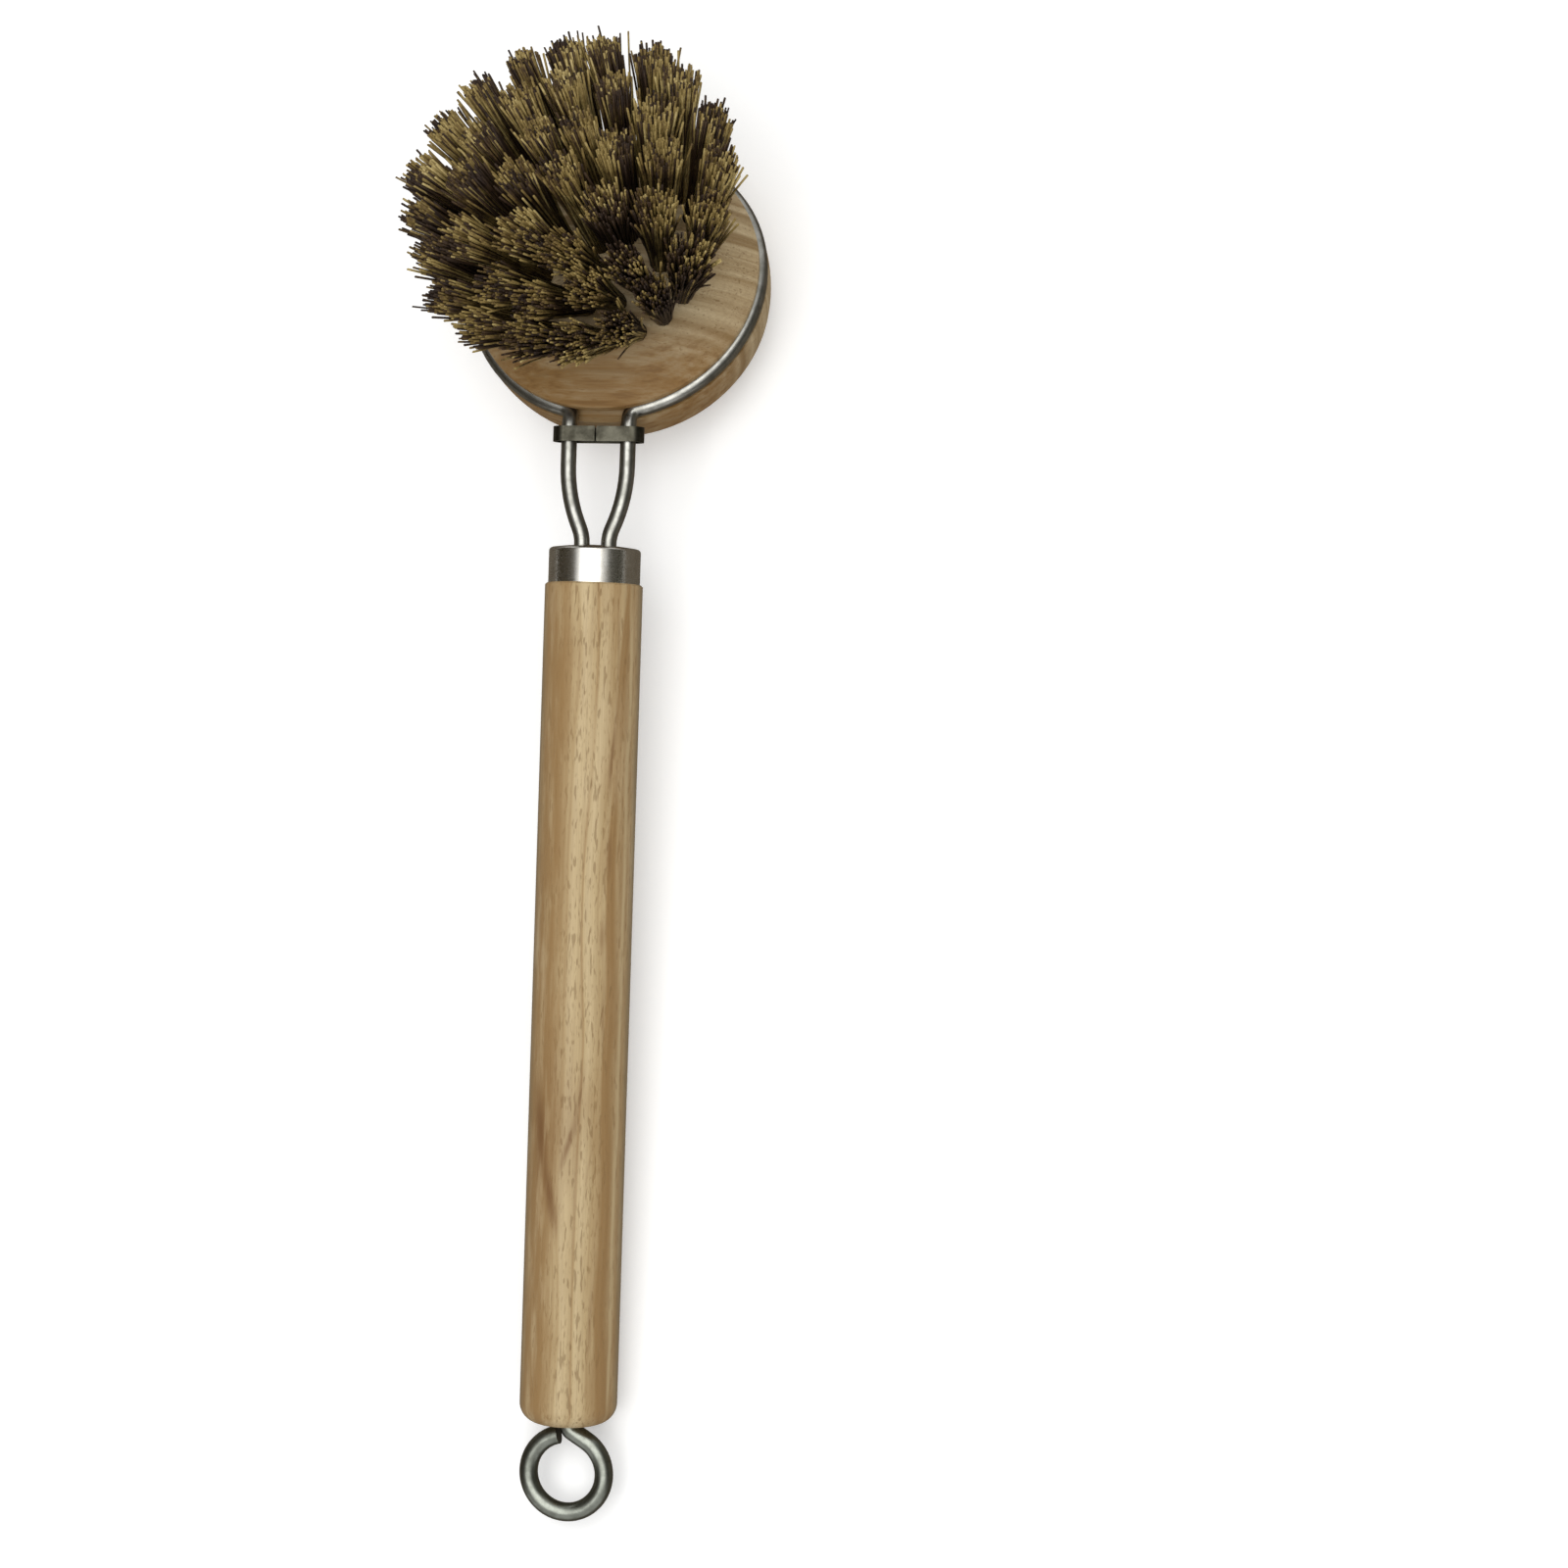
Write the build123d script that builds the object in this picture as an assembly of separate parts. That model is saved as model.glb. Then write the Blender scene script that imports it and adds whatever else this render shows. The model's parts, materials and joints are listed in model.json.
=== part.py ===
from build123d import *
import math
import os

# A round wooden dish brush with a changeable head.
# Handle, ferrule and wire are drawn with the handle's axis along Y: y is zero at the ferrule's face
# and grows towards the head. The head is drawn about its own Z axis, with z zero in the middle of
# its groove. The last section lays the finished brush on a flat surface.

# Shared clearances
overrun = 1.0             # how far a cut runs past the face that it opens
running_clearance = 0.07  # between the wire and the groove that the head turns in
slip_clearance = 0.15     # between the wire legs and the flat sides of the clip
hole_clearance = 0.05     # between the wire and the ferrule's holes

# Wire
wire_diameter = 2.6
wire_inset = 24.0         # length of each shank inside the handle
leg_gap = 4.6             # between the shanks' centre lines
leg_spread = 10.1         # between the legs' centre lines at the clip
leg_start = 0.8           # straight length above the ferrule before the legs part
leg_curve_length = 13.0   # length along the handle in which the legs part
leg_part_share = 0.2      # share of that curve that bends outwards, the rest bends back
leg_straight = 6.4        # from there to the bend where the wire pitches down to the head
pitch_bend_radius = 3.4
head_pitch = 20.0         # degrees that the head's axis leans away from square to the handle
loop_lead = 0.3           # straight length between that bend and the turn into the loop
loop_turn_radius = 1.8    # bend from each leg into the loop
wire_sink = 1.1           # from the head's rim in to the centre line of the loop

# Ferrule
ferrule_step = 0.5        # how far its wall lies inside the handle's surface
ferrule_length = 5.9
ferrule_wall = 0.5
ferrule_edge = 0.6        # radius of the pressed edge round its face
ferrule_crown = 0.55      # rise of the face in the middle

# Handle
handle_diameter = 16.2
handle_length = 145.0     # from the ferrule's face to the wooden end
handle_end_round = 3.2
handle_shoulder = 0.3     # chamfer where the wood steps down to the ferrule

# Hanging eye
eye_wire = 3.1
eye_radius = 6.5          # centre line of the ring
eye_neck = 2.2            # from the handle's end to the ring's centre line
eye_shank = 15.0          # length inside the handle
eye_lead = 30.0           # degrees from the ring's top to where the wire joins it
eye_lead_bend = 1.9       # bend where the shank turns into the ring
eye_gap = 13.0            # degrees that the cut end stops short of the ring's top

# Clip
clip_height = 2.5
clip_strip = 0.6
clip_side_room = 0.8      # beside each leg, inside the rounded ends
clip_seam = 0.3
clip_top_room = 0.1       # below the wire's bend, with the clip pushed up to the head
clip_bottom_room = 0.75   # above the ferrule, with the clip pushed down

# Head block
rim_radius = 25.5         # behind the groove
block_back = 11.4         # from the groove's middle to the flat back
block_side_radius = 26.0
block_back_round = 3.8
block_front_lip = 0.9     # height of the straight rim in front of the groove
lip_hold = 0.2            # how far that rim stands out past the loop's centre line
block_dome = 12.4         # from the groove's middle to the top of the dome

# Tufts, set in rings of holes that fan out from one point on the head's axis
tuft_diameter = 3.2
tuft_hole_depth = 6.0
tuft_length = 22.6        # from the mouth of the hole to the tips
tuft_fan_depth = 24.3     # from the groove's middle down to the point of the fan
tuft_collar = 1.2         # how far the packed root stands out of its hole
tuft_spread = 2.5         # from the middle of a tuft to its outer strands, at the tips
tuft_wall = 1.75          # wood between two holes of one ring
ring_wall = 2.0           # wood between two rings
ring_names = ("centre", "inner", "middle", "outer")

# Strands of one tuft: two circles about its middle, each with its count, its share of the tuft's
# radius at the root and its share of the spread at the tips
strand_root = 1.0         # how far a strand reaches down into the packed root
strand_size = 0.33        # radius round its three edges at the root
strand_tip_size = 0.64
strand_sides = 3
strand_circle_shares = ((3, 0.29, 0.38), (9, 0.71, 1.0))
strand_trim_shares = (1.0, 0.965, 1.015, 0.98, 1.03, 0.95, 1.0)

# Flat wire anchors that hold each tuft down in its hole
anchor_thickness = 0.4
anchor_height = 2.2
anchor_bite = 0.3         # how far each end is driven into the wood
anchor_fold = 1.1         # thickness of the folded fibres under the anchor

# Worked out from the sizes above
wire_radius = wire_diameter / 2
groove_radius = wire_radius + running_clearance
handle_radius = handle_diameter / 2
ferrule_radius = handle_radius - ferrule_step
bore_radius = ferrule_radius - ferrule_wall
tuft_radius = tuft_diameter / 2
handle_end = -handle_length
eye_middle = handle_end - eye_neck - eye_radius
shank_x = leg_gap / 2
leg_x = leg_spread / 2

pitch = math.radians(head_pitch)
pitch_tangent = pitch_bend_radius * math.tan(pitch / 2)
leg_end = leg_start + leg_curve_length + leg_straight
pitch_corner = leg_end + pitch_tangent

loop_radius = rim_radius - wire_sink
lip_radius = loop_radius + lip_hold
loop_reach = loop_radius + loop_turn_radius
loop_turn_x = leg_x + loop_turn_radius
loop_turn_y = -math.sqrt(loop_reach**2 - loop_turn_x**2)

clip_centre = leg_end - clip_top_room - clip_height / 2
clip_travel = clip_centre - clip_height / 2 - clip_bottom_room - ferrule_crown

head_inward = Vector(0, math.cos(pitch), -math.sin(pitch))
head_up = Vector(0, math.sin(pitch), math.cos(pitch))
corner = Vector(0, pitch_corner, 0)
head_centre = corner + head_inward * (pitch_tangent + loop_lead - loop_turn_y)
head_plane = Plane(origin=head_centre, x_dir=(1, 0, 0), z_dir=head_up)


def on_head(x, y, z):
    """The place of a point given about the head's own axis."""
    return head_plane.from_local_coords((x, y, z))


def end_of(edge):
    """Direction in which an edge arrives at its end."""
    return edge % 1


# Wire

def wire_half(side):
    """One shank, leg and half of the loop, with side 1 to the right and -1 to the left."""
    spread = Vector(side * leg_x, pitch_corner, 0)
    curve_end = leg_start + leg_curve_length
    curve_turn = Vector(
        side * (shank_x + (leg_x - shank_x) * leg_part_share),
        leg_start + leg_curve_length * leg_part_share,
        0,
    )
    join_share = loop_radius / loop_reach

    shank = Line((side * shank_x, -wire_inset, 0), (side * shank_x, leg_start, 0))
    part_out = TangentArc(shank @ 1, curve_turn, tangent=end_of(shank))
    part_back = TangentArc(curve_turn, (side * leg_x, curve_end, 0), tangent=end_of(part_out))
    leg = Line(part_back @ 1, (side * leg_x, leg_end, 0))
    bend = TangentArc(leg @ 1, spread + head_inward * pitch_tangent, tangent=end_of(leg))
    lead_in = Line(bend @ 1, on_head(side * leg_x, loop_turn_y, 0))
    turn = TangentArc(
        lead_in @ 1,
        on_head(side * loop_turn_x * join_share, loop_turn_y * join_share, 0),
        tangent=end_of(lead_in),
    )
    half_loop = TangentArc(turn @ 1, on_head(0, loop_radius, 0), tangent=end_of(turn))
    return [shank, part_out, part_back, leg, bend, lead_in, turn, half_loop]


def make_wire():
    halves = []
    for side in (1, -1):
        path = Wire(wire_half(side))
        start = Plane(origin=path @ 0, z_dir=path % 0)
        halves.append(sweep(start * Circle(wire_radius), path=path))
    return halves[0] + halves[1]


# Ferrule

def make_ferrule():
    """A pressed cup with a crowned face and two holes for the wire."""
    inner_edge = ferrule_edge - ferrule_wall
    flat = ferrule_radius - ferrule_edge
    outside = Line((ferrule_radius, -ferrule_length), (ferrule_radius, -ferrule_edge))
    outer_corner = TangentArc(outside @ 1, (flat, 0), tangent=end_of(outside))
    outer_face = crown_arc(flat, 0)
    top_line = Line((0, ferrule_crown), (0, ferrule_crown - ferrule_wall))
    inner_face = crown_arc(flat, -ferrule_wall)
    inside = Line((bore_radius, -ferrule_length), (bore_radius, -ferrule_wall - inner_edge))
    inner_corner = TangentArc(inside @ 1, (flat, -ferrule_wall), tangent=end_of(inside))
    foot = Line(inside @ 0, outside @ 0)
    section = make_face(
        [outside, outer_corner, outer_face, top_line, inner_face, inner_corner, inside, foot]
    )
    cup = revolve(section, axis=Axis.Y)
    for side in (1, -1):
        hole = Cylinder(wire_radius + hole_clearance, 2 * (ferrule_wall + ferrule_crown + overrun))
        cup -= Pos(side * shank_x, 0, 0) * Rot(90, 0, 0) * hole
    return cup


def crown_arc(flat, face):
    """The slight dome of the ferrule's face, from its edge to the axis."""
    return TangentArc((0, face + ferrule_crown), (flat, face), tangent=(1, 0))


# Handle

def make_handle():
    tenon_top = -ferrule_wall - ferrule_edge
    with_tenon = Polyline(
        (0, tenon_top),
        (bore_radius, tenon_top),
        (bore_radius, -ferrule_length),
        (handle_radius - handle_shoulder, -ferrule_length),
        (handle_radius, -ferrule_length - handle_shoulder),
        (handle_radius, handle_end + handle_end_round),
    )
    rounding = TangentArc(
        with_tenon @ 1, (handle_radius - handle_end_round, handle_end), tangent=(0, -1)
    )
    end_face = Line(rounding @ 1, (0, handle_end))
    axis_line = Line(end_face @ 1, with_tenon @ 0)
    wood = revolve(make_face([with_tenon, rounding, end_face, axis_line]), axis=Axis.Y)

    bore_length = wire_inset + overrun
    for side in (1, -1):
        bore = Cylinder(wire_radius, bore_length)
        wood -= Pos(side * shank_x, bore_length / 2 - wire_inset, 0) * Rot(90, 0, 0) * bore
    eye_bore = Cylinder(eye_wire / 2, eye_shank + overrun)
    wood -= Pos(0, handle_end + (eye_shank - overrun) / 2, 0) * Rot(90, 0, 0) * eye_bore
    return wood


# Hanging eye

def make_eye():
    lead = math.radians(eye_lead)
    gap = math.radians(eye_gap)
    join = Vector(eye_radius * math.sin(lead), eye_middle + eye_radius * math.cos(lead), 0)
    heading = Vector(math.cos(lead), -math.sin(lead), 0)
    bend_corner = join - heading * (join.X / heading.X)
    bend_tangent = eye_lead_bend * math.tan((math.pi / 2 - lead) / 2)
    bottom = Vector(0, eye_middle - eye_radius, 0)
    cut_end = Vector(-eye_radius * math.sin(gap), eye_middle + eye_radius * math.cos(gap), 0)

    shank = Line((0, handle_end + eye_shank, 0), bend_corner + Vector(0, bend_tangent, 0))
    bend = TangentArc(shank @ 1, bend_corner + heading * bend_tangent, tangent=end_of(shank))
    slope = Line(bend @ 1, join)
    ring_right = TangentArc(join, bottom, tangent=heading)
    ring_left = TangentArc(bottom, cut_end, tangent=end_of(ring_right))
    path = Wire([shank, bend, slope, ring_right, ring_left])
    start = Plane(origin=path @ 0, z_dir=path % 0)
    return sweep(start * Circle(eye_wire / 2), path=path)


# Clip

def make_clip():
    """A strip bent flat round both legs, open at a butt seam on its front."""
    inner_length = leg_spread + wire_diameter + 2 * clip_side_room
    inner_height = wire_diameter + 2 * slip_clearance
    outline = SlotOverall(inner_length + 2 * clip_strip, inner_height + 2 * clip_strip)
    band = outline - SlotOverall(inner_length, inner_height)
    clip = extrude(band, clip_height / 2, both=True)
    seam_height = clip_strip + slip_clearance + overrun
    seam = Pos(0, (inner_height + seam_height) / 2, 0) * Box(
        clip_seam, seam_height, clip_height + 2 * overrun
    )
    return Plane(origin=(0, clip_centre, 0), x_dir=(1, 0, 0), z_dir=(0, -1, 0)) * (clip - seam)


# Head block

def dome_at(radius):
    """Height of the domed face above the middle of the groove."""
    rise = block_dome - groove_radius - block_front_lip
    ball = (lip_radius**2 + rise**2) / (2 * rise)
    return block_dome - ball + math.sqrt(ball**2 - radius**2)


def back_flat_radius():
    """Centre of the back's rounded edge, which is also where the flat back ends."""
    reach = block_side_radius - block_back_round
    drop = block_back - block_back_round - groove_radius
    return rim_radius - block_side_radius + math.sqrt(reach**2 - drop**2)


def make_block_blank():
    flat = back_flat_radius()
    front = groove_radius + block_front_lip
    side_centre = Vector(rim_radius - block_side_radius, -groove_radius)
    round_centre = Vector(flat, block_back_round - block_back)
    side_end = side_centre + (round_centre - side_centre).normalized() * block_side_radius

    lip = Line((lip_radius, front), (lip_radius, groove_radius))
    upper = Line(lip @ 1, (loop_radius, groove_radius))
    groove = ThreePointArc(upper @ 1, (loop_radius - groove_radius, 0), (loop_radius, -groove_radius))
    lower = Line(groove @ 1, (rim_radius, -groove_radius))
    side = TangentArc(lower @ 1, side_end, tangent=(0, -1))
    back_edge = TangentArc(side_end, (flat, -block_back), tangent=end_of(side))
    back = Line(back_edge @ 1, (0, -block_back))
    axis_line = Line(back @ 1, (0, block_dome))
    dome = TangentArc(axis_line @ 1, lip @ 0, tangent=(1, 0))
    section = make_face([lip, upper, groove, lower, side, back_edge, back, axis_line, dome])
    return revolve(Plane.XZ * section, axis=Axis.Z)


def tuft_places(ring):
    """A plane for each hole of a ring: origin at its mouth, z out along the tuft, x outwards."""
    radius = ring_names.index(ring) * (tuft_diameter + ring_wall)
    count = max(1, round(2 * math.pi * radius / (tuft_diameter + tuft_wall)))
    height = dome_at(radius)
    lean = math.atan2(radius, height + tuft_fan_depth)
    places = []
    for index in range(count):
        turn = 2 * math.pi * (index + 0.5) / count
        outward = Vector(math.cos(turn), math.sin(turn), 0)
        axis = outward * math.sin(lean) + Vector(0, 0, math.cos(lean))
        across = outward * math.cos(lean) - Vector(0, 0, math.sin(lean))
        mouth = outward * radius + Vector(0, 0, height)
        places.append(Plane(origin=mouth, x_dir=across, z_dir=axis))
    return places


def make_anchor():
    """A flat piece of wire that crosses the hole and bites into the wood at both ends."""
    width = tuft_diameter + 2 * anchor_bite
    plate = Box(width, anchor_thickness, anchor_height)
    return Pos(0, 0, anchor_fold + anchor_height / 2 - tuft_hole_depth) * plate


def make_block():
    block = make_block_blank()
    depth = tuft_hole_depth + overrun
    drill = Pos(0, 0, depth / 2 - tuft_hole_depth) * Cylinder(tuft_radius, depth)
    tool = drill + make_anchor()
    cuts = [place * tool for ring in ring_names for place in tuft_places(ring)]
    return block - cuts


# Tufts

def polygon_at(centre, size, turn):
    """Corners of one strand's section, in a plane square to the tuft."""
    corners = []
    for side in range(strand_sides):
        angle = turn + 2 * math.pi * side / strand_sides
        corners.append(centre + Vector(size * math.cos(angle), size * math.sin(angle), 0))
    return corners


def make_strand(turn, root_radius, tip_radius, length):
    """A straight strand with flat sides that leans out from the middle of its tuft."""
    outward = Vector(math.cos(turn), math.sin(turn), 0)
    root = outward * root_radius + Vector(0, 0, tuft_collar - strand_root)
    tip = outward * tip_radius + Vector(0, 0, length)
    lower = polygon_at(root, strand_size, turn)
    upper = polygon_at(tip, strand_tip_size, turn)
    sides = []
    for side in range(strand_sides):
        after = (side + 1) % strand_sides
        sides.append([lower[side], lower[after], upper[after], upper[side]])
    outlines = sides + [lower, upper]
    return Solid(Shell([Face(Wire.make_polygon(points)) for points in outlines]))


def make_tuft(first):
    """The packed root in its hole, cut for its anchor, with all its strands in one fuse."""
    root_length = tuft_hole_depth + tuft_collar
    root = Pos(0, 0, tuft_collar - root_length / 2) * Cylinder(tuft_radius, root_length)
    root = root - make_anchor()
    strands = []
    for count, root_share, tip_share in strand_circle_shares:
        root_radius = tuft_radius * root_share
        tip_radius = tuft_spread * tip_share
        for index in range(count):
            trim = strand_trim_shares[(first + index) % len(strand_trim_shares)]
            turn = 2 * math.pi * index / count
            strands.append(make_strand(turn, root_radius, tip_radius, tuft_length * trim))
    return root + strands


# Resting place

def rest_slope():
    """Angle of the line that touches the handle's end and the far edge of the head's back."""
    end_low = Vector(0, handle_end + handle_end_round, handle_end_round - handle_radius)
    back_low = on_head(0, back_flat_radius(), block_back_round - block_back)
    run = back_low - end_low
    fall = math.asin((block_back_round - handle_end_round) / run.length)
    return math.atan2(run.Z, run.Y) - fall


slope = rest_slope()
level = Rot(math.degrees(-slope), 0, 0)

head_pieces = {"head_block": make_block()}
for ring in ring_names:
    places = tuft_places(ring)
    anchors = [place * make_anchor() for place in places]
    head_pieces["anchors_" + ring] = Compound(children=anchors)
    for index, place in enumerate(places):
        name = "tuft_" + ring
        if len(places) > 1:
            name += "_" + str(index + 1)
        head_pieces[name] = place * make_tuft(index)

pieces = {
    "handle": make_handle(),
    "ferrule": make_ferrule(),
    "wire_bail": make_wire(),
    "slide_clip": make_clip(),
    "hanging_eye": make_eye(),
}
for name, piece in head_pieces.items():
    pieces[name] = head_plane.location * piece

# The brush is laid level, then moved so that its box stands on z = 0 about x = y = 0
laid = {name: level * piece for name, piece in pieces.items()}
boxes = [piece.bounding_box() for piece in laid.values()]
low_y = min(box.min.Y for box in boxes)
high_y = max(box.max.Y for box in boxes)
low_z = min(box.min.Z for box in boxes)
to_origin = Pos(0, -(low_y + high_y) / 2, -low_z)

os.makedirs("parts", exist_ok=True)
for name, piece in laid.items():
    export_step(to_origin * piece, "parts/" + name + ".step")

rest = to_origin * level
for label, point in (
    ("head axis point", head_centre),
    ("flat back middle", on_head(0, 0, -block_back)),
    ("clip centre", Vector(0, clip_centre, 0)),
    ("eye ring middle", Vector(0, eye_middle, 0)),
    ("ferrule face middle", Vector(0, 0, 0)),
):
    print(label, [round(value, 4) for value in (rest * Pos(*point)).position])
print("slope in degrees", round(math.degrees(slope), 4), "clip travel", clip_travel)
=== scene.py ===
import json
import math
import random

import bpy
import numpy as np
from mathutils import Matrix, Vector


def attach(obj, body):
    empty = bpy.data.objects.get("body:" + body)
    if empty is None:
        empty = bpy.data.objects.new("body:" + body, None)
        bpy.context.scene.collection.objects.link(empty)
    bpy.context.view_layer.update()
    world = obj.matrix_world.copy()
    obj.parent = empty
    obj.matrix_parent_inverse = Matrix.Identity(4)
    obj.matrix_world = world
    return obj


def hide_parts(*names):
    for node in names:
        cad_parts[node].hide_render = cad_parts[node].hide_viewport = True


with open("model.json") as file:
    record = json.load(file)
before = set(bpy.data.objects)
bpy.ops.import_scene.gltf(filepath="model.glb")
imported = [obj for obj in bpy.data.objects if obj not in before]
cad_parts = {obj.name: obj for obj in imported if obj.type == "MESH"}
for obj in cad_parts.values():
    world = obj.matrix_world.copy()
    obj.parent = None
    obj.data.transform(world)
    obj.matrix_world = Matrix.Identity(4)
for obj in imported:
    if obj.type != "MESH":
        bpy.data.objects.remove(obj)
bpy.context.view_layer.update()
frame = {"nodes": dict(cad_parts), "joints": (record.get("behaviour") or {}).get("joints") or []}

# Dish brush. Everything is in metres, and the brush lies along Y with its bristles up.

mm = 0.001

# The handle's own directions and the head's axis come from the two joints
joints = {joint["name"]: joint for joint in frame["joints"]}
side = Vector((1, 0, 0))
along = -Vector(joints["clip_slide"]["axis"]).normalized()  # from the hanging eye to the head
up = side.cross(along)
headAxis = Vector(joints["head_turn"]["axis"]).normalized()
headMiddle = Vector(joints["head_turn"]["pos_m"])
headAhead = headAxis.cross(side)  # across the head, away from the handle


def pointsOf(node):
    mesh = frame["nodes"][node].data
    points = np.zeros(len(mesh.vertices) * 3, np.float32)
    mesh.vertices.foreach_get("co", points)
    return points.reshape(-1, 3).astype(float)


def span(node, direction):
    reach = pointsOf(node) @ np.array(direction)
    return reach.min(), reach.max()


handleEnd, ferruleTop = span("handle", along)[0], span("ferrule", along)[1]
axisHeight = sum(span("handle", up)) / 2
ferrulePoint = along * ferruleTop + up * axisHeight
print("frame read: handle and ferrule", round((ferruleTop - handleEnd) / mm, 1), "mm long")


# Colours and nodes

def paint(red, green, blue):
    linear = []
    for value in (red, green, blue):
        share = value / 255
        linear.append(share / 12.92 if share <= 0.04045 else ((share + 0.055) / 1.055) ** 2.4)
    return (*linear, 1)


class Finish:
    # one material, with short ways to add the nodes that it needs

    def __init__(self, name):
        self.material = bpy.data.materials.new(name)
        self.material.use_nodes = True
        self.tree = self.material.node_tree
        self.tree.nodes.clear()
        self.shader = self.node("ShaderNodeBsdfPrincipled")
        self.node("ShaderNodeOutputMaterial", {"Surface": self.shader.outputs["BSDF"]})

    def node(self, kind, inputs=None, **settings):
        made = self.tree.nodes.new(kind)
        for name, value in settings.items():
            setattr(made, name, value)
        for name, value in (inputs or {}).items():
            self.feed(made.inputs[name], value)
        return made

    def feed(self, socket, value):
        if isinstance(value, bpy.types.NodeSocket):
            self.tree.links.new(value, socket)
        else:
            socket.default_value = value

    def place(self, middle, across, grain, outward):
        # millimetres about a point, with x across the grain and y along it
        turn = Matrix((across, grain, outward))
        spot = self.node("ShaderNodeTexCoord").outputs["Object"]
        mapping = self.node("ShaderNodeMapping", {"Vector": spot})
        mapping.inputs["Scale"].default_value = (1 / mm, 1 / mm, 1 / mm)
        mapping.inputs["Rotation"].default_value = turn.to_euler()
        mapping.inputs["Location"].default_value = -(turn @ Vector(middle)) / mm
        return mapping.outputs["Vector"]

    def stretch(self, vector, scale, shift=(0, 0, 0)):
        mapping = self.node("ShaderNodeMapping", {"Vector": vector})
        mapping.inputs["Scale"].default_value = scale
        mapping.inputs["Location"].default_value = shift
        return mapping.outputs["Vector"]

    def noise(self, vector, detail=2.0, roughness=0.5):
        inputs = {"Vector": vector, "Scale": 1.0, "Detail": detail, "Roughness": roughness}
        return self.node("ShaderNodeTexNoise", inputs).outputs["Fac"]

    def lineNoise(self, value, detail=2.0, roughness=0.5):
        inputs = {"W": value, "Scale": 1.0, "Detail": detail, "Roughness": roughness}
        return self.node("ShaderNodeTexNoise", inputs, noise_dimensions="1D").outputs["Fac"]

    def calc(self, kind, first, second=0.0):
        made = self.node("ShaderNodeMath", operation=kind)
        self.feed(made.inputs[0], first)
        self.feed(made.inputs[1], second)
        return made.outputs["Value"]

    def length(self, first, second):
        # of the line to a point with these two distances
        squares = self.calc("MULTIPLY", first, first), self.calc("MULTIPLY", second, second)
        return self.calc("SQRT", self.calc("ADD", *squares))

    def ease(self, value, low, high, fromValue=0.0, toValue=1.0):
        made = self.node(
            "ShaderNodeMapRange",
            {"Value": value, "From Min": low, "From Max": high, "To Min": fromValue, "To Max": toValue},
            interpolation_type="SMOOTHSTEP",
        )
        return made.outputs["Result"]

    def ramp(self, value, stops):
        made = self.node("ShaderNodeValToRGB", {"Fac": value})
        points = made.color_ramp.elements
        while len(points) < len(stops):
            points.new(0.5)
        for point, (place, colour) in zip(points, stops):
            point.position = place
            point.color = colour
        return made.outputs["Color"]

    def blend(self, share, first, second):
        made = self.node("ShaderNodeMix", data_type="RGBA")
        self.feed(made.inputs[0], share)
        self.feed(made.inputs[6], first)
        self.feed(made.inputs[7], second)
        return made.outputs[2]

    def bump(self, height, depth, strength=1.0):
        made = self.node("ShaderNodeBump", {"Height": height, "Distance": depth, "Strength": strength})
        self.feed(self.shader.inputs["Normal"], made.outputs["Normal"])

    def set(self, **values):
        for name, value in values.items():
            self.feed(self.shader.inputs[name.replace("_", " ")], value)


def dress(node, finish):
    slots = frame["nodes"][node].data.materials
    slots.clear()
    slots.append(finish.material)


# Wood

handleWood = {
    "pale": (202, 182, 144),
    "tan": (187, 165, 124),
    "brown": (144, 113, 71),
    "pore": (114, 88, 52),
    "pith": (-34.0, 26.0),  # mm across and outward from the piece's middle
    "ringWidth": 4.2,
    "ringWarp": 6.0,
    "driftLength": 30.0,
    "poreWidth": 0.5,
    "poreLength": 3.0,
    "poreShare": 0.6,
    "roughness": (0.5, 0.66),
    "bump": 0.04 * mm,
}

handleMarks = {
    "brownSide": (8.0, -24.0, 0.95),  # degrees round the handle from its top, and how strong
    "brownRight": (22.0, 52.0, 0.7),
    "paleLine": (69.0, 5.5, 0.6),  # degrees round, half width in degrees, and how strong
    # painted shade: greyer and darker towards both edges of the handle
    "paintedShadeRight": (76.0, 94.0, 0.75),
    "paintedShadeLeft": (-44.0, -72.0, 0.8),
    "streaks": (  # mm along from the ferrule, degrees round, half length, half width, slant, how strong
        (-16.0, 49.0, 12.0, 3.6, 0.1, 0.75),
        (-34.0, 45.0, 11.0, 4.4, 0.2, 0.65),
        (-51.0, 44.0, 6.0, 6.0, 0.0, 0.5),
        (-64.0, 40.0, 5.0, 7.0, 0.3, 0.55),
        (-78.0, 42.0, 8.0, 3.4, -0.1, 0.45),
        (-98.0, -10.0, 24.0, 60.0, 0.0, 0.3),
        (-97.0, -32.0, 11.0, 15.0, -0.8, 0.85),
        (-107.0, -14.0, 9.0, 10.0, -1.6, 0.8),
        (-98.0, 6.0, 9.0, 6.0, 1.6, 0.7),
        (-89.0, 18.0, 6.0, 7.0, 1.2, 0.6),
        (-104.0, 30.0, 7.0, 3.0, 0.8, 0.35),
        (-128.0, 38.0, 9.0, 4.0, 0.3, 0.4),
    ),
    "dark": (112, 78, 44),
    "light": (190, 170, 130),
    # colour of the painted shade at the handle's edges
    "paintedEdgeShade": (128, 112, 84),
    "wander": 20.0,  # degrees that the marks stray along the handle
    "wanderScale": 0.03,
    "patchScale": (0.7, 0.08, 0.7),
    "leastPatch": (0.35, 0.5),  # the least strength of streaks and of brown sides
}

blockWood = {
    "pale": (202, 182, 144),
    "tan": (178, 156, 118),
    "brown": (146, 121, 82),
    "pore": (106, 80, 46),
    "pith": (-70.0, -8.0),
    "ringWidth": 2.3,
    "ringWarp": 1.6,
    "driftLength": 26.0,
    "poreWidth": 0.34,
    "poreLength": 2.6,
    "poreShare": 0.64,
    "roughness": (0.46, 0.62),
    "bump": 0.03 * mm,
}

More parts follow.
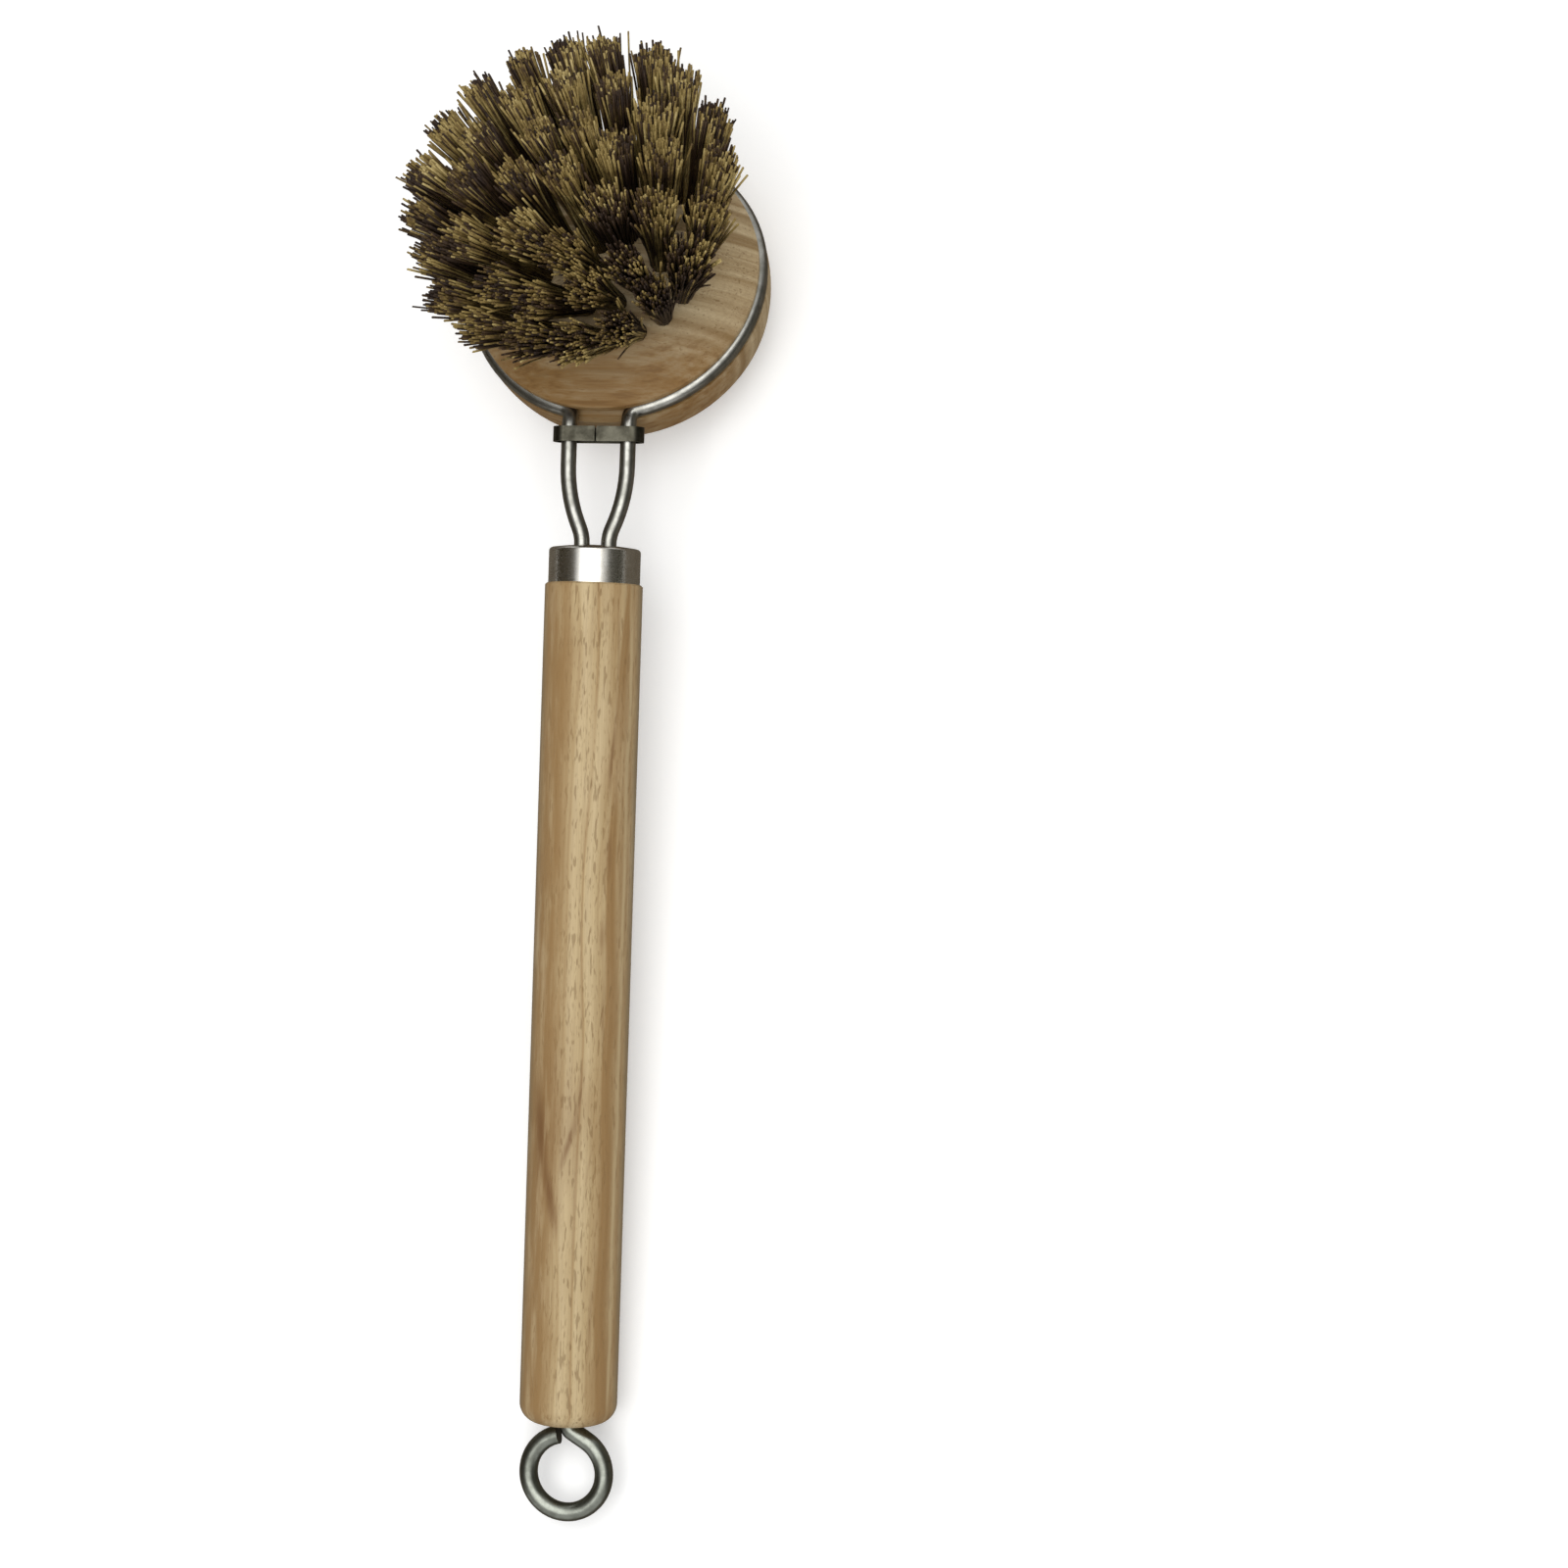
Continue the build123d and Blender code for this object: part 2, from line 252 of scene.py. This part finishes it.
woodGrain = {  # both woods; scales are for each millimetre across, along and across the grain
    "warpScale": (0.06, 0.011, 0.06),
    "ringStops": ((0.3, "brown"), (0.48, "tan"), (0.68, "pale")),
    "driftAcross": 0.12,
    "driftBrown": 0.55,  # how strong the slow drift to brown and to pale is
    "driftPale": 0.5,
    "fibreScale": (3.0, 0.06, 3.0),
    "fibreTint": 0.2,
    "crowdScale": (0.25, 0.05, 0.25),  # pores stand closer in some places
    "crowding": 0.24,
    "poreTint": 0.5,
    "smallPore": 0.5,  # size of the small pores to the large ones
    "smallPoreTint": 0.3,
    "specular": 0.25,
}

blockMarks = {
    "warmSide": (-9.0, -19.0, 0.85),  # mm across the grain, towards the handle
    "warm": (142, 106, 55),
    # dark grain lines, and painted shade near the rim
    "deepGrainAndShade": (112, 80, 40),
    "paintedRimShade": (15.0, 24.5, 0.4),  # mm from the head's axis, and how much darker: painted shade towards the rim
    "rimShadeSides": (6.0, -18.0, 0.25),  # mm across the grain from least to full, and the least share of the painted rim shade
    "lineScale": (0.9, 0.045, 0.9),
    "leastLine": 0.35,
    "deepLines": 0.7,
}


class Wood(Finish):
    # wood with its grain along the piece's own y, and x and z across it, in millimetres

    def __init__(self, name, look, middle, across, grain, outward):
        super().__init__(name)
        self.look = look
        self.spot = self.place(middle, across, grain, outward)
        self.axes = self.node("ShaderNodeSeparateXYZ", {"Vector": self.spot}).outputs
        self.colour = self.growthRings()
        self.addDrift()
        self.fibres = self.noise(self.stretch(self.spot, woodGrain["fibreScale"]), 4.0, 0.65)
        self.tint(self.ease(self.fibres, 0.35, 0.65, woodGrain["fibreTint"], 0.0), look["pore"])
        self.open = self.pores(1.0, 0.0)
        self.tint(self.calc("MULTIPLY", self.open, woodGrain["poreTint"]), look["pore"])
        small = self.pores(woodGrain["smallPore"], 3.0)
        self.tint(self.calc("MULTIPLY", small, woodGrain["smallPoreTint"]), look["pore"])

    def tint(self, share, colour):
        self.colour = self.blend(share, self.colour, paint(*colour))

    def growthRings(self):
        # bands about a far pith, bent by a slow warp along the grain
        look = self.look
        warp = self.noise(self.stretch(self.spot, woodGrain["warpScale"]), 2.0)
        x = self.calc("SUBTRACT", self.axes["X"], look["pith"][0])
        z = self.calc("SUBTRACT", self.axes["Z"], look["pith"][1])
        bent = self.calc("ADD", self.length(x, z), self.calc("MULTIPLY", warp, 2 * look["ringWarp"]))
        rings = self.lineNoise(self.calc("DIVIDE", bent, look["ringWidth"]), 3.0, 0.6)
        return self.ramp(rings, [(stop, paint(*look[shade])) for stop, shade in woodGrain["ringStops"]])

    def addDrift(self):
        across = woodGrain["driftAcross"]
        drifting = self.stretch(self.spot, (across, 1 / self.look["driftLength"], across), (7, 3, 5))
        drift = self.noise(drifting, 2.0, 0.55)
        self.tint(self.ease(drift, 0.5, 0.75, 0.0, woodGrain["driftBrown"]), self.look["brown"])
        self.tint(self.ease(drift, 0.5, 0.25, 0.0, woodGrain["driftPale"]), self.look["pale"])

    def pores(self, size, shift):
        width, length = self.look["poreWidth"] * size, self.look["poreLength"] * size
        each = self.stretch(self.spot, (1 / width, 1 / length, 1 / width), (shift, 0, 0))
        spots = self.noise(each, 1.0, 0.4)
        crowd = self.noise(self.stretch(self.spot, woodGrain["crowdScale"], (2, 9 + shift, 4)), 2.0)
        highest = self.look["poreShare"] + woodGrain["crowding"] / 2
        limit = self.calc("SUBTRACT", highest, self.calc("MULTIPLY", crowd, woodGrain["crowding"]))
        return self.ease(self.calc("SUBTRACT", spots, limit), 0.0, 0.08)

    def close(self):
        look = self.look
        height = self.calc("SUBTRACT", self.calc("MULTIPLY", self.fibres, 0.5), self.open)
        self.bump(height, look["bump"], 0.6)
        self.set(Base_Color=self.colour, Roughness=self.ease(self.fibres, 0.3, 0.7, *look["roughness"]))
        self.set(Specular_IOR_Level=woodGrain["specular"])


def addHandleMarks(wood, marks):
    # streaks and tones at their places round the handle, and painted shade towards its edges
    turn = wood.calc("MULTIPLY", wood.calc("ARCTAN2", wood.axes["X"], wood.axes["Z"]), 180 / math.pi)
    wander = wood.noise(wood.stretch(wood.spot, (0.0, marks["wanderScale"], 0.0), (0, 5, 0)), 3.0)
    turn = wood.calc("ADD", turn, wood.calc("MULTIPLY", wood.calc("SUBTRACT", wander, 0.5), marks["wander"]))
    patches = wood.noise(wood.stretch(wood.spot, marks["patchScale"], (1, 4, 6)), 3.0)
    leastStreak, leastBrown = marks["leastPatch"]
    broken = wood.ease(patches, 0.3, 0.6, leastStreak, 1.0)
    uneven = wood.ease(patches, 0.25, 0.6, leastBrown, 1.0)

    for name in ("brownSide", "brownRight"):
        start, full, strength = marks[name]
        zone = wood.ease(turn, start, full, 0.0, strength)
        wood.tint(wood.calc("MULTIPLY", zone, uneven), wood.look["brown"])
    # painted shade towards both edges of the handle
    for name in ("paintedShadeRight", "paintedShadeLeft"):
        start, full, strength = marks[name]
        wood.tint(wood.ease(turn, start, full, 0.0, strength), marks["paintedEdgeShade"])

    middle, width, strength = marks["paleLine"]
    off = wood.calc("ABSOLUTE", wood.calc("SUBTRACT", turn, middle))
    wood.tint(wood.calc("MULTIPLY", wood.ease(off, 0.0, width, strength, 0.0), broken), marks["light"])

    for middle, middleTurn, length, width, slant, strength in marks["streaks"]:
        onward = wood.calc("SUBTRACT", wood.axes["Y"], middle)
        aside = wood.calc("SUBTRACT", turn, middleTurn)
        aside = wood.calc("SUBTRACT", aside, wood.calc("MULTIPLY", onward, slant))
        away = wood.length(wood.calc("DIVIDE", onward, length), wood.calc("DIVIDE", aside, width))
        wood.tint(wood.calc("MULTIPLY", wood.ease(away, 0.0, 1.0, strength, 0.0), broken), marks["dark"])


def addBlockMarks(wood, marks):
    # warmer wood towards the handle, in fine lines along the grain, and painted shade darker towards the rim
    start, full, strength = marks["warmSide"]
    zone = wood.ease(wood.axes["X"], start, full, 0.0, strength)
    lines = wood.noise(wood.stretch(wood.spot, marks["lineScale"], (3, 1, 2)), 3.0, 0.6)
    wood.tint(wood.calc("MULTIPLY", zone, wood.ease(lines, 0.32, 0.6, marks["leastLine"], 1.0)), marks["warm"])
    wood.tint(wood.calc("MULTIPLY", zone, wood.ease(lines, 0.54, 0.68, 0.0, marks["deepLines"])), marks["deepGrainAndShade"])
    # painted shade: darker towards the rim, most on the side towards the handle
    start, full, strength = marks["paintedRimShade"]
    rimShade = wood.ease(wood.length(wood.axes["X"], wood.axes["Y"]), start, full, 0.0, strength)
    start, full, least = marks["rimShadeSides"]
    wood.tint(wood.calc("MULTIPLY", rimShade, wood.ease(wood.axes["X"], start, full, least, 1.0)), marks["deepGrainAndShade"])


handleFinish = Wood("handleWood", handleWood, ferrulePoint, side, along, up)
addHandleMarks(handleFinish, handleMarks)
handleFinish.close()
dress("handle", handleFinish)

blockFinish = Wood("blockWood", blockWood, headMiddle, headAhead, side, -headAxis)
addBlockMarks(blockFinish, blockMarks)
blockFinish.close()
dress("head_block", blockFinish)
print("wood done")


# Metal

ferruleSteel = {
    "bright": (192, 190, 184),
    "dull": (170, 166, 157),
    "roughness": (0.2, 0.3),
    "bump": 0.005 * mm,
}

wireSteel = {
    "bright": (152, 151, 145),
    "dull": (120, 119, 112),
    "roughness": (0.26, 0.38),
    "bump": 0.01 * mm,
}

clipSteel = {
    "bright": (80, 78, 68),
    "dull": (52, 50, 42),
    "roughness": (0.26, 0.42),
    "bump": 0.014 * mm,
}

eyeSteel = {
    "bright": (128, 131, 123),
    "dull": (102, 104, 96),
    "roughness": (0.26, 0.4),
    "bump": 0.012 * mm,
}

steelGrain = {  # for each millimetre
    "smudges": (0.35, 0.35, 0.35),
    "drawn": (7.0, 7.0, 7.0),
    "turned": (0.4, 9.0, 0.4),
    "smudgeShare": 0.6,  # of the changes in roughness, the rest comes from the grain
}


def steelFinish(name, look, middle, scratches="drawn"):
    steel = Finish(name)
    place = steel.place(middle, side, along, up)
    smudge = steel.noise(steel.stretch(place, steelGrain["smudges"]), 4.0, 0.6)
    fine = steel.noise(steel.stretch(place, steelGrain[scratches]), 2.0, 0.6)
    colour = steel.blend(steel.ease(smudge, 0.35, 0.7), paint(*look["bright"]), paint(*look["dull"]))
    share = steelGrain["smudgeShare"]
    rough = steel.calc("ADD", steel.calc("MULTIPLY", smudge, share), steel.calc("MULTIPLY", fine, 1 - share))
    steel.bump(fine, look["bump"], 0.5)
    steel.set(Base_Color=colour, Roughness=steel.ease(rough, 0.3, 0.7, *look["roughness"]))
    steel.set(Metallic=1.0)
    return steel


dress("ferrule", steelFinish("ferruleSteel", ferruleSteel, ferrulePoint, "turned"))
wireFinish = steelFinish("wireSteel", wireSteel, ferrulePoint)
dress("wire_bail", wireFinish)
dress("slide_clip", steelFinish("clipSteel", clipSteel, ferrulePoint))
dress("hanging_eye", steelFinish("eyeSteel", eyeSteel, ferrulePoint))
for node in frame["nodes"]:
    if node.startswith("anchors_"):
        dress(node, wireFinish)
print("metal done")


# Bristles

bristles = {
    "fibres": 160,  # in each tuft
    "fanDepth": 24.3 * mm,  # from the head's middle down to the point that all tufts fan out from
    "holeDepth": 6.0 * mm,
    "rootStart": -2.0 * mm,  # inside the hole
    "rootRadius": 1.42 * mm,
    "lengthShare": 1.105,
    "tipRadius": 3.2 * mm,
    "nearSpread": 0.3,  # how much wider the tips are towards the handle, and closer on the far side
    "radiusJitter": 0.18,
    "rootThickness": 0.2 * mm,
    "tipThickness": 0.19 * mm,
    "rings": 5,
    "sides": 4,
    "lengthJitter": 0.045,
    "tuftJitter": 0.025,  # of its length
    "leanJitter": 0.03,  # sideways for each unit of length
    "leftLean": 0.93,  # of the fan's own lean, as the bristles are bent by use
    "rightLean": 0.84,
    "farLean": 1.08,
    "nearLean": 1.14,  # towards the handle
    "innerLean": 2.1,  # more for the inner tufts there
    "aside": -0.03,
    "nearAside": 0.12,
    "paintedSideShade": 0.17,  # painted shade: lighter on the far side, darker towards the handle
    "bend": 0.95 * mm,
    "wave": 0.22 * mm,
    "flare": 1.3,  # how late along its length a tuft spreads out
    "lumps": 6,  # strips of one tone in a tuft
    "lumpEdge": 0.3,  # how much these strips mix where they meet
    "darkShare": 0.44,
    "darkTones": (0.02, 0.32),
    "lightTones": (0.46, 0.86),
    "strayShare": 0.4,  # fibres with a tone of their own
    "toneJitter": 0.08,  # from tuft to tuft, and again from fibre to fibre
    "rootShade": 0.14,
    "tipShade": 0.05,
    "seed": 11,
}

fibreLook = {
    "tones": (
        (0.0, (38, 27, 20)),
        (0.3, (62, 46, 30)),
        (0.5, (106, 87, 48)),
        (0.7, (141, 121, 72)),
        (0.88, (167, 148, 97)),
        (1.0, (186, 167, 114)),
    ),
    "changes": (  # scale for each millimetre, how much, and a shift
        (1.4, 0.08, (0, 0, 0)),
        (0.22, 0.16, (4, 2, 8)),
    ),
    "roughness": 0.6,
    "specular": 0.2,
}


def fibreFinish(look):
    fibre = Finish("bristleFibre")
    tone = fibre.node("ShaderNodeAttribute", attribute_name="fibreTone").outputs["Fac"]
    spot = fibre.place(headMiddle, side, along, up)
    for scale, change, shift in look["changes"]:
        clouds = fibre.noise(fibre.stretch(spot, (scale, scale, scale), shift), 3.0, 0.6)
        tone = fibre.calc("ADD", tone, fibre.ease(clouds, 0.3, 0.7, -change, change))
    colour = fibre.ramp(tone, [(stop, paint(*shade)) for stop, shade in look["tones"]])
    fibre.set(Base_Color=colour, Roughness=look["roughness"], Specular_IOR_Level=look["specular"])
    return fibre


def tuftPlace(node):
    points = pointsOf(node)
    fan = headMiddle - headAxis * bristles["fanDepth"]
    axis = (Vector(points.mean(axis=0)) - fan).normalized()
    reach = (points - np.array(fan)) @ np.array(axis)
    mouth = fan + axis * (reach.min() + bristles["holeDepth"])
    return mouth, axis, reach.max() - reach.min() - bristles["holeDepth"]


def anyWay(dice, first, second):
    turn = dice.uniform(0, 2 * math.pi)
    return first * math.cos(turn) + second * math.sin(turn)


def anyTone(dice):
    kind = "darkTones" if dice.random() < bristles["darkShare"] else "lightTones"
    return dice.uniform(*bristles[kind])


def jitter(dice, name):
    return dice.uniform(-bristles[name], bristles[name])


def bent(axis):
    # the tuft's direction after some use
    far, across = axis.dot(headAhead), axis.dot(side)
    across *= bristles["leftLean"] if across < 0 else bristles["rightLean"]
    across += bristles["aside"] + bristles["nearAside"] * min(0, far)
    if far < 0:
        inside = 1 - axis.cross(headAxis).length / fanReach
        far *= bristles["nearLean"] + bristles["innerLean"] * inside
    else:
        far *= bristles["farLean"]
    return (side * across + headAhead * far + headAxis * axis.dot(headAxis)).normalized()


def makeTuft(node, place, dice, finish):
    mouth, axis, length = place
    length *= bristles["lengthShare"] * (1 - abs(dice.gauss(0, bristles["tuftJitter"])))
    far = axis.dot(headAhead)
    spread = 1 - bristles["nearSpread"] * far
    first = axis.orthogonal().normalized()
    second = axis.cross(first)
    axis = (bent(axis) + anyWay(dice, first, second) * dice.gauss(0, bristles["leanJitter"])).normalized()
    count, sides, rings = bristles["fibres"], bristles["sides"], bristles["rings"]
    tipRadius = bristles["tipRadius"] * spread * (1 + jitter(dice, "radiusJitter"))
    # a random tone for each tuft, plus painted shade darker towards the handle
    tuftToneAndShade = jitter(dice, "toneJitter") + bristles["paintedSideShade"] * far
    lumpTones = [anyTone(dice) for lump in range(bristles["lumps"])]
    lumpWays = [anyWay(dice, first, second) for lump in range(bristles["lumps"])]
    verts, faces, tones = [], [], []
    for index in range(count):
        share = math.sqrt((index + 0.5) / count)
        turn = index * math.pi * (3 - math.sqrt(5))
        outward = first * math.cos(turn) + second * math.sin(turn)
        sway = anyWay(dice, first, second) * dice.gauss(0, bristles["bend"])
        wave = anyWay(dice, first, second) * dice.gauss(0, bristles["wave"])
        tip = length * (1 - abs(dice.gauss(0, bristles["lengthJitter"])))
        closeness = [way.dot(outward) + dice.uniform(0, bristles["lumpEdge"]) for way in lumpWays]
        nearest = closeness.index(max(closeness))
        tone = anyTone(dice) if dice.random() < bristles["strayShare"] else lumpTones[nearest]
        tone += tuftToneAndShade + jitter(dice, "toneJitter")
        base = len(verts)
        for ring in range(rings + 1):
            rise = ring / rings
            flared = rise ** bristles["flare"]
            radius = share * (bristles["rootRadius"] * (1 - flared) + tipRadius * flared)
            middle = mouth + axis * (bristles["rootStart"] + (tip - bristles["rootStart"]) * rise)
            middle += outward * radius + sway * rise**2 + wave * math.sin(math.pi * rise)
            thick = bristles["rootThickness"] * (1 - rise) + bristles["tipThickness"] * rise
            shade = bristles["rootShade"] * (1 - rise) + bristles["tipShade"] * rise**4
            ringTone = min(1.0, max(0.0, tone - shade))
            for corner in range(sides):
                angle = 2 * math.pi * corner / sides + turn
                verts.append(middle + (first * math.cos(angle) + second * math.sin(angle)) * thick)
                tones.append(ringTone)
            if ring:
                low = base + (ring - 1) * sides
                for corner in range(sides):
                    after = (corner + 1) % sides
                    faces.append((low + corner, low + after, low + sides + after, low + sides + corner))
        faces.append(tuple(range(base + rings * sides, base + (rings + 1) * sides)))
        faces.append(tuple(reversed(range(base, base + sides))))
    mesh = bpy.data.meshes.new("bristles_" + node)
    mesh.from_pydata(verts, [], faces)
    mesh.attributes.new("fibreTone", "FLOAT", "POINT").data.foreach_set("value", tones)
    mesh.shade_smooth()
    mesh.materials.append(finish.material)
    tuft = bpy.data.objects.new("bristles_" + node, mesh)
    bpy.context.scene.collection.objects.link(tuft)
    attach(tuft, "head")
    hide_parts(node)
    return len(faces)


fibreMaterial = fibreFinish(fibreLook)
dice = random.Random(bristles["seed"])
places = {node: tuftPlace(node) for node in sorted(frame["nodes"]) if node.startswith("tuft_")}
fanReach = max(axis.cross(headAxis).length for mouth, axis, length in places.values())  # of the outermost tufts
faceCount = sum(makeTuft(node, place, dice, fibreMaterial) for node, place in places.items())
print("bristles done:", len(places), "tufts,", faceCount, "faces")


# Floor, light and camera

studio = {
    "floorSize": 3.0,
    "floorColour": (247, 247, 246),
    "floorGlow": (0.2, 0.8),  # near and far, seen by the camera and in reflections only
    "glowReach": (250.0, 1100.0),  # mm from the brush
    "worldLight": 0.4,
    "lampPlace": (0.08, 0.03, 0.75),
    "lampSize": (0.7, 0.9),
    "lampPower": 5.6,
    "cards": {  # middle, degrees turned about Y, size and colour of cards that only reflections see
        "leftCard": ((-0.46, 0, 0.19), -67, (0.74, 0.9), (84, 76, 62)),
        "rightCard": ((0.48, 0, 0.12), 76, (0.58, 0.9), (92, 90, 80)),
        "underCard": ((0, 0, 0.0002), 0, (0.6, 0.6), (118, 110, 98)),
    },
}


def corners(wide, long):
    return [(-wide, -long, 0), (wide, -long, 0), (wide, long, 0), (-wide, long, 0)]


def makeFloor():
    half = studio["floorSize"] / 2
    mesh = bpy.data.meshes.new("floor")
    mesh.from_pydata(corners(half, half), [], [(0, 1, 2, 3)])
    floor = bpy.data.objects.new("floor", mesh)
    bpy.context.scene.collection.objects.link(floor)
    paper = Finish("floorPaper")
    paper.set(Base_Color=paint(*studio["floorColour"]), Roughness=0.9, Specular_IOR_Level=0.0)
    rays = paper.node("ShaderNodeLightPath").outputs
    seen = paper.calc("MAXIMUM", rays["Is Camera Ray"], rays["Is Glossy Ray"])
    seen = paper.calc("MAXIMUM", seen, rays["Is Transmission Ray"])
    spot = paper.stretch(paper.node("ShaderNodeTexCoord").outputs["Object"], (1 / mm, 1 / mm, 1 / mm))
    away = paper.node("ShaderNodeVectorMath", {"Vector": spot}, operation="LENGTH").outputs["Value"]
    glow = paper.ease(away, *studio["glowReach"], *studio["floorGlow"])
    paper.set(Emission_Color=(1, 1, 1, 1), Emission_Strength=paper.calc("MULTIPLY", seen, glow))
    mesh.materials.append(paper.material)


def makeWorld():
    world = bpy.data.worlds.new("studioWorld")
    bpy.context.scene.world = world
    world.use_nodes = True
    tree = world.node_tree
    tree.nodes.clear()
    rays = tree.nodes.new("ShaderNodeLightPath").outputs
    share = rays["Is Camera Ray"]
    for other in ("Is Glossy Ray", "Is Transmission Ray"):
        either = tree.nodes.new("ShaderNodeMath")
        either.operation = "MAXIMUM"
        tree.links.new(share, either.inputs[0])
        tree.links.new(rays[other], either.inputs[1])
        share = either.outputs["Value"]
    mix = tree.nodes.new("ShaderNodeMixShader")
    tree.links.new(share, mix.inputs["Fac"])
    for socket, strength in ((1, studio["worldLight"]), (2, 1.0)):
        sky = tree.nodes.new("ShaderNodeBackground")
        sky.inputs["Color"].default_value = (1, 1, 1, 1)
        sky.inputs["Strength"].default_value = strength
        tree.links.new(sky.outputs["Background"], mix.inputs[socket])
    out = tree.nodes.new("ShaderNodeOutputWorld")
    tree.links.new(mix.outputs["Shader"], out.inputs["Surface"])


def makeLamp():
    light = bpy.data.lights.new("softBox", "AREA")
    light.shape = "RECTANGLE"
    light.size, light.size_y = studio["lampSize"]
    light.energy = studio["lampPower"]
    lamp = bpy.data.objects.new("softBox", light)
    lamp.location = studio["lampPlace"]
    bpy.context.scene.collection.objects.link(lamp)


def makeCard(name, middle, turn, size, colour):
    wide, long = (reach / 2 for reach in size)
    mesh = bpy.data.meshes.new(name)
    mesh.from_pydata(corners(wide, long), [], [(0, 1, 2, 3)])
    card = bpy.data.objects.new(name, mesh)
    card.location = middle
    card.rotation_euler = (0, math.radians(turn), 0)
    bpy.context.scene.collection.objects.link(card)
    plain = Finish(name)
    plain.set(Base_Color=paint(*colour), Roughness=1.0, Specular_IOR_Level=0.0)
    mesh.materials.append(plain.material)
    card.visible_camera = False
    card.visible_diffuse = False
    card.visible_shadow = False
    card.visible_transmission = False


view = {
    "imageWidth": 1600,
    "sensor": 36.0,
    "focalPixels": 3000,
    "pixelsPerMm": 6.16,
    "ferrulePixel": (607.4, 556.4),  # middle of the ferrule's crowned face in the photo
    "lean": 1.85,  # degrees that the handle leans in the picture
    "tilt": 0.8,
    "turn": -12.0,  # degrees round the handle
}


def makeCamera():
    data = bpy.data.cameras.new("photoCamera")
    data.sensor_width = view["sensor"]
    data.lens = view["focalPixels"] * view["sensor"] / view["imageWidth"]
    distance = view["focalPixels"] / view["pixelsPerMm"] * mm
    half = view["imageWidth"] / 2
    shiftX = (view["ferrulePixel"][0] - half) / view["pixelsPerMm"] * mm
    shiftY = (half - view["ferrulePixel"][1]) / view["pixelsPerMm"] * mm
    brush = Matrix((side, along, up))  # from the world to the brush's directions
    roll = Matrix.Rotation(math.radians(view["turn"]), 3, "Y")
    tilt = Matrix.Rotation(math.radians(view["tilt"]), 3, "X")
    lean = Matrix.Rotation(math.radians(-view["lean"]), 3, "Z")
    toCamera = lean @ tilt @ roll @ brush
    back = toCamera.transposed()
    place = ferrulePoint - back @ Vector((shiftX, shiftY, -distance))
    camera = bpy.data.objects.new("photoCamera", data)
    camera.matrix_world = Matrix.Translation(place) @ back.to_4x4()
    bpy.context.scene.collection.objects.link(camera)
    bpy.context.scene.camera = camera


makeFloor()
makeWorld()
makeLamp()
for name, card in studio["cards"].items():
    makeCard(name, *card)
makeCamera()
bpy.context.scene.view_settings.view_transform = "Standard"
bpy.context.view_layer.update()
print("floor, light and camera done")
